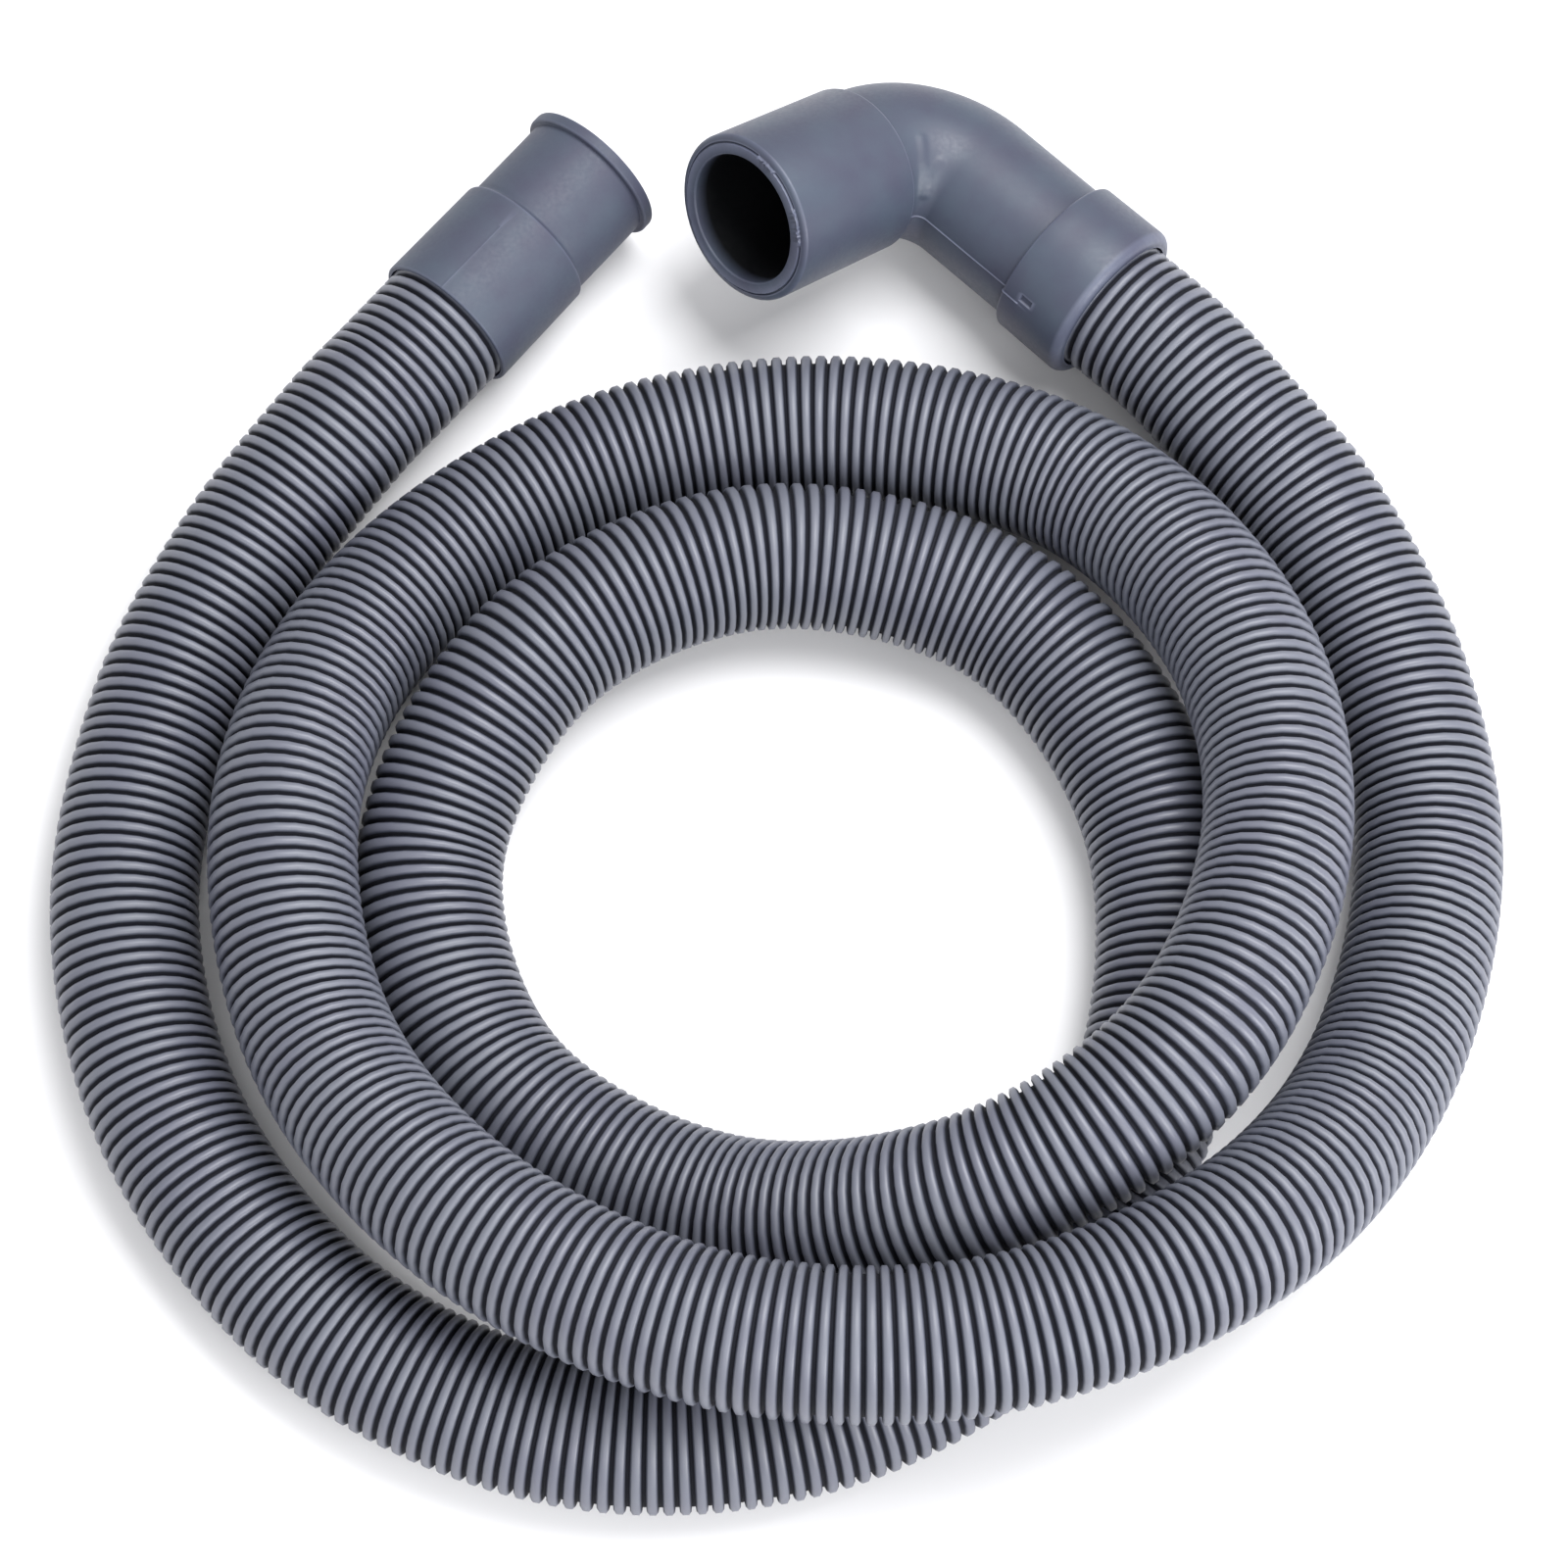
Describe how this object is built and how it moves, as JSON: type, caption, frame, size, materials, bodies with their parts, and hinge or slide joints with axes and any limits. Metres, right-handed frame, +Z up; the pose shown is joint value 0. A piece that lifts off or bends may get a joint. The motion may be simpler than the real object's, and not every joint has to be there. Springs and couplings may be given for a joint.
{
  "type": "sewer hose kit",
  "caption": "Ribbed waste-water hose lying in a coil, with a straight push-on cuff at one end and an elbow with a wider socket at the other.",
  "frame": {"origin": "on the surface that the coil lies on, under the middle of the part", "axes": "+Z up; +Y from the front of the coil towards its two fittings; +X from the straight cuff's side towards the elbow's side"},
  "size_m": [0.3183, 0.3337, 0.0657],
  "materials": {
    "hose": "satin grey extruded plastic with close ribs",
    "fittings": "satin blue-grey soft moulded plastic"
  },
  "bodies": {
    "coil": {"hose": "hose"},
    "cuff": {"straight_cuff": "fittings"},
    "elbow": {"elbow": "fittings"}
  },
  "joints": [
    {"name": "cuff_swivel", "type": "hinge", "parent": "coil", "child": "cuff", "pos_m": [-0.0765, 0.1095, 0.01825], "axis": [0.6428, 0.766, 0], "continuous": true},
    {"name": "elbow_swivel", "type": "hinge", "parent": "coil", "child": "elbow", "pos_m": [0.0765, 0.1129, 0.0202], "axis": [-0.7254, 0.6884, 0], "range_deg": [-24, 155]}
  ]
}
